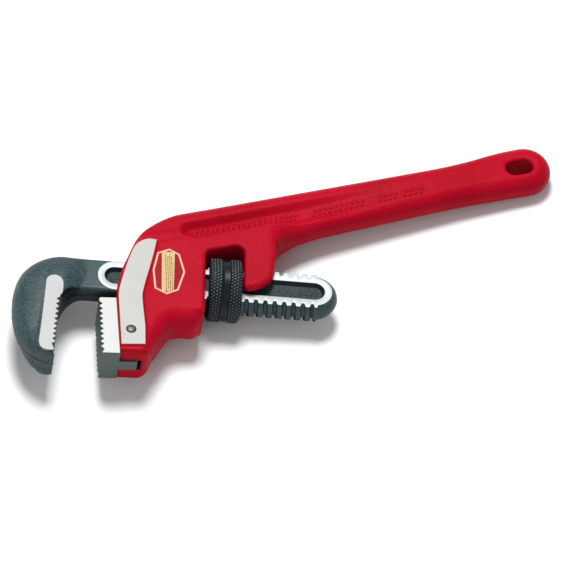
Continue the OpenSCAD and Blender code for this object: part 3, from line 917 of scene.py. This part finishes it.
def label_pieces():
    """A plain label: a border, a field, a strip and columns of dashes."""
    outline = anticlockwise(LABEL)
    lift = HOUSING_HALF

    def layer(name, shape, low, high, material):
        part = prism(shape, lift + low, lift + high, 0.02, both=False)
        return add_piece(name, *part[:2], [material], sharp=15)

    base = layer("label_film", outline, -0.1, 0.06, border)
    panel = layer("label_panel", inset(outline, 1.15), 0.0, 0.09, dark_red)
    strip = layer("label_centre", LABEL_STRIP, 0.0, 0.12, cream_strip)
    dashes = []
    for n, column in enumerate(DASH_COLUMNS):
        y = DASH_END_Y - 1.1 * (n % 2)
        k = 0
        while y > -DASH_END_Y:
            long = 1.5 + 1.7 * ((k * 7 + n * 5) % 4) / 3
            x = -38.6 + column + 0.042 * (16 - y) * 0.9
            dash = [(x - 0.2, y), (x - 0.2, y - long), (x + 0.2, y - long), (x + 0.2, y)]
            dashes.append(prism(dash, lift + 0.05, lift + 0.15, 0.02, both=False))
            y -= long + 0.55
            k += 1
    print_marks = add_piece("label_dashes", *joined(dashes)[:2], [ink], sharp=15)
    return base, panel, strip, print_marks


# ---------------------------------------------------------------- the nut

NUT_R = 19.35
NUT_HALF = 10.2
KNURLS = 58
KNURL_DEPTH = 0.62
KNURL_LENGTH = 3.5
NUT_GROOVE = (-1.65, 2.25)
NUT_GROOVE_R = NUT_R - 0.95
NUT_CORNER = 1.9
BORE_R = 12.5
BORE_THREAD = 2.35
BORE_CREST_X = -2.55


def knurl(angle, x):
    """How far down the knurl's grooves reach at a point, 0 on a tip and 1 in a groove."""
    u = KNURLS * angle / (2 * math.pi)
    v = x / KNURL_LENGTH
    a = np.abs(2 * ((u + v) % 1) - 1)
    b = np.abs(2 * ((u - v) % 1) - 1)
    return np.maximum(a, b)


def nut_piece():
    """The nut as rings along its axis, from its threaded bore round its two knurled bands."""
    steps = KNURLS * 8
    angles = np.linspace(0, 2 * np.pi, steps, endpoint=False)

    def plain(x, r):
        return x, np.full(steps, r), np.zeros(steps)

    def knurled(x, first, last):
        corner = max(0.0, abs(x) - (NUT_HALF - NUT_CORNER)) / NUT_CORNER
        fade = min(1.0, (x - first) / 0.5 + 0.15, (last - x) / 0.5 + 0.15)
        depth = knurl(angles, x)
        return x, NUT_R - 0.02 - 2.7 * corner ** 1.6 - KNURL_DEPTH * fade * depth, 1 - depth

    bore_x = np.linspace(NUT_HALF, -NUT_HALF, 37)
    crest = BORE_CREST_X + THREAD_PITCH * (np.degrees(angles) - 180) / 360
    off = crest_distance(bore_x[:, None] + NUT_X, crest[None, :])
    bore_r = BORE_R + BORE_THREAD * (1 - smooth_step((off - 1.55) / 0.8))
    rows = [(x, r, np.zeros(steps)) for x, r in zip(bore_x, bore_r)]

    band_step = 0.27
    left = np.arange(-NUT_HALF + 0.1, NUT_GROOVE[0] - 0.5, band_step)
    right = np.arange(NUT_GROOVE[1] + 0.5, NUT_HALF - 0.1, band_step)
    rows += [plain(-NUT_HALF, 15.2), plain(-NUT_HALF, 16.3), plain(-NUT_HALF + 0.05, 16.5)]
    rows += [knurled(x, left[0], left[-1]) for x in left]
    for x in np.linspace(NUT_GROOVE[0] - 0.25, NUT_GROOVE[1] + 0.25, 13):
        out = abs(x - sum(NUT_GROOVE) / 2) / ((NUT_GROOVE[1] - NUT_GROOVE[0]) / 2)
        rows.append(plain(x, NUT_GROOVE_R + 0.25 * max(0.0, out - 0.85) / 0.3))
    rows += [knurled(x, right[0], right[-1]) for x in right]
    rows += [plain(NUT_HALF - 0.05, 16.5), plain(NUT_HALF, 16.3), plain(NUT_HALF, 15.2)]

    c, s = np.cos(angles), np.sin(angles)
    points = np.vstack([np.column_stack([np.full(steps, x + NUT_X), r * c, r * s]) for x, r, _ in rows])
    tips = np.concatenate([tip for _, _, tip in rows])
    i, k = np.meshgrid(np.arange(steps), np.arange(len(rows)), indexing="xy")
    next_i, next_k = (i + 1) % steps, (k + 1) % len(rows)
    quads = np.stack([k * steps + i, k * steps + next_i, next_k * steps + next_i, next_k * steps + i], -1)
    quads = quads.reshape(-1, 4)[:, ::-1]
    return add_piece("nut_knurled", points, quads, [nut_steel], sharp=60, shade=tips)


# ---------------------------------------------------------------- putting it together

casting, pads, studs = handle_pieces()
jaw_block, pin, pin_gap_shade = heel_pieces()
film = label_pieces()
head, strip, shank, dots = hook_pieces()
nut = nut_piece()

riders = [
    (casting, "frame", "handle_paint"),
    (pads, "frame", "handle_paint"),
    (studs, "frame", "handle_paint"),
    (jaw_block, "frame", "jaw_steel"),
    (pin, "frame", "pin_steel"),
    (pin_gap_shade, "frame", "handle_paint"),
    (head, "jaw", "forged_steel"),
    (strip, "jaw", "forged_steel"),
    (shank, "jaw", "forged_steel"),
    (dots, "jaw", "forged_steel"),
    (nut, "nut", "nut_steel")]
riders += [(layer, "frame", "label_film") for layer in film]
for piece, owner, slot in riders:
    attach(piece, owner)

for piece in (casting, pads, studs, pin_gap_shade):
    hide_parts("handle")
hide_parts("heel_jaw")
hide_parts("heel_jaw_pin")
for piece in film:
    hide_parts("label")
for piece in (head, strip, shank, dots):
    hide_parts("hook_jaw")
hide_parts("adjusting_nut")

for name in ("coil_spring", "flat_spring"):
    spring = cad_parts[name]
    if not spring.data.materials:
        spring.data.materials.append(spring_steel)
    for material_slot in spring.material_slots:
        material_slot.material = spring_steel


# ---------------------------------------------------------------- floor, light and camera

def floor_sheet():
    """The wrench lies on its nut and its grip's end, so the floor rises a little towards the grip."""
    nut_foot = Vector(ORIGIN) + Vector((NUT_X, 0, -NUT_R - 0.05)) * MM
    grip_foot = Vector(ORIGIN) + Vector((GRIP_END[0] - 4, GRIP_END[1] - 1, -GRIP_HALF - 0.1)) * MM
    run = (grip_foot - nut_foot).normalized()
    side = run.cross(Vector((0, 0, 1))).normalized()
    size = 9.0
    corners = [nut_foot + size * (a * run + b * side) for a, b in ((-1, 1), (1, 1), (1, -1), (-1, -1))]
    mesh = bpy.data.meshes.new("floor")
    mesh.from_pydata(corners, [], [(3, 2, 1, 0)])
    mesh.materials.append(floor_look())
    floor = bpy.data.objects.new("floor", mesh)
    bpy.context.scene.collection.objects.link(floor)


def area_light(name, direction, distance, size, power):
    """A round lamp that faces the wrench."""
    data = bpy.data.lights.new(name, "AREA")
    data.shape = "DISK"
    data.size = size
    data.energy = power
    lamp = bpy.data.objects.new(name, data)
    d = Vector(direction).normalized()
    lamp.location = d * distance
    lamp.rotation_mode = "QUATERNION"
    lamp.rotation_quaternion = d.to_track_quat("Z", "Y")
    bpy.context.scene.collection.objects.link(lamp)


def studio():
    area_light("key_light", (-0.14, 0.36, 1.0), 2.0, 0.78, 46)
    area_light("front_fill", (-0.3, -0.9, 0.55), 2.0, 1.4, 7)
    world = bpy.data.worlds.new("studio")
    world.use_nodes = True
    background = world.node_tree.nodes["Background"]
    background.inputs["Color"].default_value = (0.95, 1, 1, 1)
    background.inputs["Strength"].default_value = 0.35
    bpy.context.scene.world = world
    bpy.context.scene.view_settings.view_transform = "Standard"


def camera():
    """A long lens far away, at the angle the wrench is seen from."""
    toward = Vector((-0.0729, -0.6386, 0.7660)).normalized()
    right = Vector((0.99412, 0.01505, 0.10720)).normalized()
    up = toward.cross(right)
    target = right * 35.8 + up * 2.97
    distance, width, sensor = 15000.0, 348.3, 36
    data = bpy.data.cameras.new("camera")
    data.sensor_width = sensor
    data.lens = sensor * distance / width
    data.clip_start, data.clip_end = 0.1, 100
    eye = bpy.data.objects.new("camera", data)
    turn = Matrix((right, up, toward)).transposed()
    eye.rotation_mode = "QUATERNION"
    eye.rotation_quaternion = turn.to_quaternion()
    eye.location = Vector(ORIGIN) + (target + toward * distance) * MM
    bpy.context.scene.collection.objects.link(eye)
    bpy.context.scene.camera = eye


floor_sheet()
studio()
camera()
